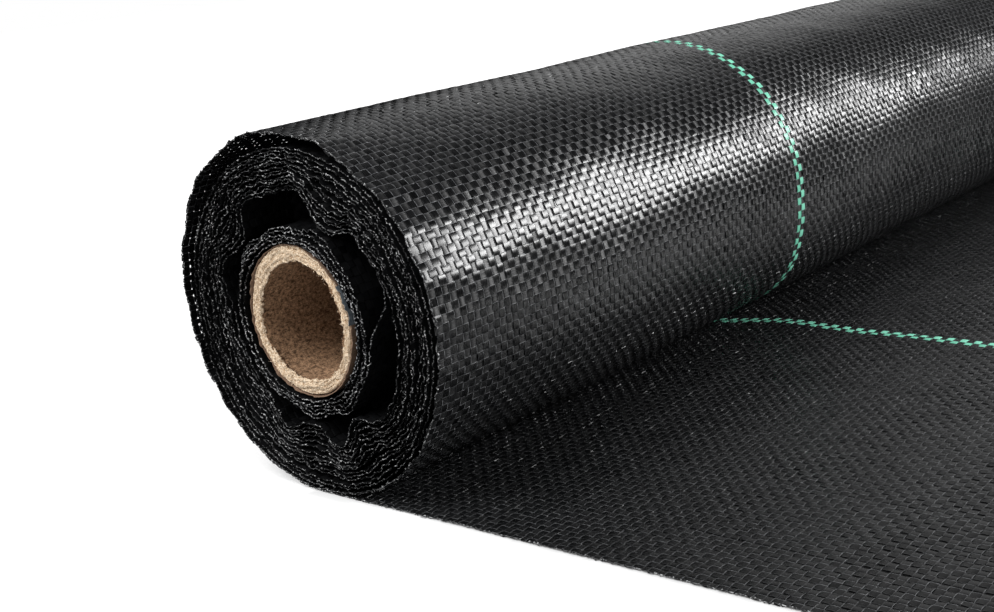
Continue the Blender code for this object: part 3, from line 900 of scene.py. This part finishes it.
def paper_ply(name, radius, torn, seed, material, thick, node):
    """A thin paper ply wound on the core in a helix, its two ends torn. It is inside out where thick is below 0."""
    near = 0.5 * ring_noise(seed, 23, core_angle) + 0.35 * ring_noise(seed + 1, 90, core_angle)
    far = 0.5 * ring_noise(seed + 2, 23, core_angle) + 0.35 * ring_noise(seed + 3, 90, core_angle)
    near, far = CORE_NEAR + torn + near * MM, CORE_FAR - torn - far * MM
    share = [np.linspace(0.0, 0.03, 12), np.linspace(0.04, 0.96, 70), np.linspace(0.97, 1.0, 12)]
    y = near + (far - near) * np.concatenate(share)[None, :]
    helix = (core_angle / FULL_TURN + y / 0.11) % 1.0
    seam = 0.16 * MM * np.exp(-((np.minimum(helix, 1.0 - helix) / 0.012) ** 2))
    uneven = 0.05 * MM * ring_noise(seed + 4, 40, core_angle + 6.0 * y, y - NEAR_EDGE, 60)
    side = -1.0 if thick < 0 else 1.0
    lift = 0.25 * MM * ring_noise(seed + 5, 19, core_angle) * np.exp(-np.minimum(y - near, far - y) / (1.2 * MM))
    outside = radius + uneven - side * seam + side * lift
    ride_core(add_ply(name, outside, outside - thick, y, core_angle, material), node)


paper_ply("core_skin", CORE_RADIUS - 0.05 * MM, 0.25 * MM, 820, SKIN, 0.3 * MM, "core_outer_paper")
paper_ply("core_liner", BORE_RADIUS + 0.1 * MM, 0.9 * MM, 840, LINER, -0.25 * MM, "core_liner_paper")

# Loose fibres that stand off the board's ends: each a strip of three faces that narrows to its tip
FIBRES = 420
rng = np.random.default_rng(900)
slivers, sliver_faces = [], []
for side, edge in ((1.0, CORE_NEAR), (-1.0, CORE_FAR)):
    for _ in range(FIBRES):
        angle, r = rng.uniform(0.0, FULL_TURN), rng.uniform(BORE_RADIUS - 0.6 * MM, SKIN_INNER)
        length, wide = rng.uniform(0.4, 1.9) * MM, rng.uniform(0.05, 0.16) * MM
        turn, lean = rng.normal(0.0, 0.8), rng.normal(0.25, 0.35)
        base = round_axis(r, edge + side * 0.75 * MM, angle)
        outward = np.array([math.cos(angle), 0.0, math.sin(angle)])
        around = np.array([-math.sin(angle), 0.0, math.cos(angle)])
        way = math.cos(lean) * (math.sin(turn) * around + math.cos(turn) * outward * rng.choice((-1.0, 1.0)))
        way = way - side * np.array([0.0, math.sin(lean), 0.0])
        beside = np.cross(way, outward + 0.3 * around)
        beside /= np.linalg.norm(beside)
        bow = np.cross(way, beside) * rng.normal(0.0, 0.25) * length
        first = len(slivers)
        for step in np.linspace(0.0, 1.0, 4):
            middle = base + way * length * (step - 0.2) + bow * step * step
            for wing in (-1.0, 1.0):
                slivers.append(middle + wing * beside * wide * (1.05 - step))
        sliver_faces += [[k, k + 1, k + 3, k + 2] for k in range(first, first + 6, 2)]
ride_core(add_mesh("core_fibres", np.array(slivers), np.array(sliver_faces), BOARD), "core_tube")

tape_angle = np.linspace(TAPE_START, TAPE_START + TAPE_SWEEP, 60)[:, None]
share = np.linspace(0.0, 1.0, 44)[None, :]
near = CORE_NEAR - (0.3 + 0.5 * ring_noise(860, 50, tape_angle * 3.0)) * MM
y = near + (TAPE_LENGTH - 1.0 * MM) * share
wrinkle = 0.06 * MM * ring_noise(861, 90, tape_angle + 9.0 * share, share, 26)
top = CORE_RADIUS + CLEARANCE + 0.2 * MM + wrinkle
ride_core(add_ply("start_tape_strip", top, top - 0.14 * MM, y, tape_angle, TAPE), "start_tape")

# Floor, light and camera

# The floor shows white to the camera, but not under the sheet, whose middle and half length these are, unless
# the sheet is lifted off it
SHEET_MIDDLE, SHEET_HALF = 0.207, 0.211
LIFTED = 0.01
# How much of that white a mirrored ray sees, and the floor's own grey for it and for other rays
MIRRORED_WHITE = 0.06
FLOOR_GREY, MIRRORED_GREY = (0.6, 0.6, 0.6), (0.06, 0.06, 0.06)
FLOOR_REACH = 20.0

look = Nodes(bpy.data.materials.new("floor_white"))
floor_place = look.new("ShaderNodeSeparateXYZ", {"Vector": look.place()})
from_middle = look.math("ABSOLUTE", look.math("SUBTRACT", floor_place.outputs[0], SHEET_MIDDLE))
inside_x = look.math("SUBTRACT", SHEET_HALF, from_middle)
inside_y = look.math("SUBTRACT", WEB_WIDTH / 2.0, look.math("ABSOLUTE", floor_place.outputs[1]))
beside = look.spread(look.math("MINIMUM", inside_x, inside_y), 1.0, 0.0, -0.004, 0.002)
# Painted shade: the glow fades where the sheet lies within LIFTED above, a soft contact shadow under it
above = look.new("ShaderNodeAmbientOcclusion", {"Distance": LIFTED}, samples=4)
open_floor = look.math("MAXIMUM", beside, above.outputs["AO"])
reach = look.new("ShaderNodeVectorMath", {0: look.place(), 1: (0.0, NEAR_EDGE, 0.0)}, operation="DISTANCE")
far_floor = look.spread(reach.outputs["Value"], 0.42, 1.0, 0.3, 1.5)
rays = look.new("ShaderNodeLightPath").outputs
mirrored = look.math("MAXIMUM", rays["Is Glossy Ray"], rays["Is Transmission Ray"])
seen = look.math("MAXIMUM", rays["Is Camera Ray"], look.math("MULTIPLY", mirrored, MIRRORED_WHITE))
look.shade({
    "Roughness": 0.9,
    "Specular IOR Level": 0.0,
    "Base Color": look.ramp(mirrored, ((0.0, FLOOR_GREY), (1.0, MIRRORED_GREY))),
    "Emission Color": (1.0, 1.0, 1.0, 1.0),
    "Emission Strength": look.math("MULTIPLY", look.math("MULTIPLY", seen, open_floor), far_floor),
})
corners = np.array([(-1.0, -1.0, 0.0), (1.0, -1.0, 0.0), (1.0, 1.0, 0.0), (-1.0, 1.0, 0.0)]) * FLOOR_REACH
floor = add_mesh("floor", corners, np.array([[0, 1, 2, 3]]), look.owner)

world = Nodes(bpy.data.worlds.new("studio"), "Background")
bpy.context.scene.world = world.owner
sky = world.new("ShaderNodeTexCoord").outputs["Generated"]
# Two soft patches of light, each by its direction, and an even rest
BACK_LEFT, FRONT = (-0.422, 0.794, 0.438), (0.0, -1.0, 0.0)
DIM = 0.045


def toward(direction, lowest, highest, level):
    """A soft patch of light on the world, from the cosine to a direction."""
    near = world.new("ShaderNodeVectorMath", {0: sky, 1: direction}, operation="DOT_PRODUCT")
    return world.spread(near.outputs["Value"], 0.0, level, lowest, highest, interpolation_type="SMOOTHSTEP")


room = world.math("ADD", toward(BACK_LEFT, 0.927, 0.9945, 0.88), world.math("ADD", toward(FRONT, 0.0, 0.6, 0.5), DIM))
seen = world.new("ShaderNodeLightPath").outputs["Is Camera Ray"]
world.shade({"Color": (1.0, 1.0, 1.0, 1.0), "Strength": world.math("MAXIMUM", room, seen)})


def softbox(name, place, target, width, height, power):
    """A rectangular area light that shines on a place."""
    lamp = bpy.data.lights.new(name, "AREA")
    lamp.shape = "RECTANGLE"
    lamp.size, lamp.size_y = width, height
    lamp.energy = power
    made = bpy.data.objects.new(name, lamp)
    bpy.context.scene.collection.objects.link(made)
    made.location = place
    made.rotation_euler = (Vector(target) - made.location).to_track_quat("-Z", "Y").to_euler()


softbox("back_right", (1.2, 0.87, 0.64), (0.05, -0.35, 0.07), 0.9, 0.41, 48.0)
softbox("front_top", (-0.35, -1.5, 1.5), (0.0, -0.5, 0.05), 1.2, 1.2, 38.0)

# The photograph's camera, as it was fitted
LENS, SENSOR = 48.50, 36.0
CAMERA_PLACE = (0.312884, -0.747187, 0.154455)
YAW, PITCH, ROLL = 0.75273, 0.25098, -0.12934

camera_data = bpy.data.cameras.new("camera")
camera = bpy.data.objects.new("camera", camera_data)
bpy.context.scene.collection.objects.link(camera)
camera_data.sensor_width = SENSOR
camera_data.lens = LENS
camera_data.clip_start = 0.01
ahead = np.array([-math.sin(YAW) * math.cos(PITCH), math.cos(YAW) * math.cos(PITCH), -math.sin(PITCH)])
right = np.array([math.cos(YAW), math.sin(YAW), 0.0])
up = np.cross(right, ahead)
tilted_right = right * math.cos(ROLL) + up * math.sin(ROLL)
tilted_up = -right * math.sin(ROLL) + up * math.cos(ROLL)
turn = np.stack([tilted_right, tilted_up, -ahead], 1)
camera.matrix_world = Matrix.Translation(CAMERA_PLACE) @ Matrix(turn.tolist()).to_4x4()
bpy.context.scene.camera = camera
bpy.context.scene.view_settings.view_transform = "Standard"
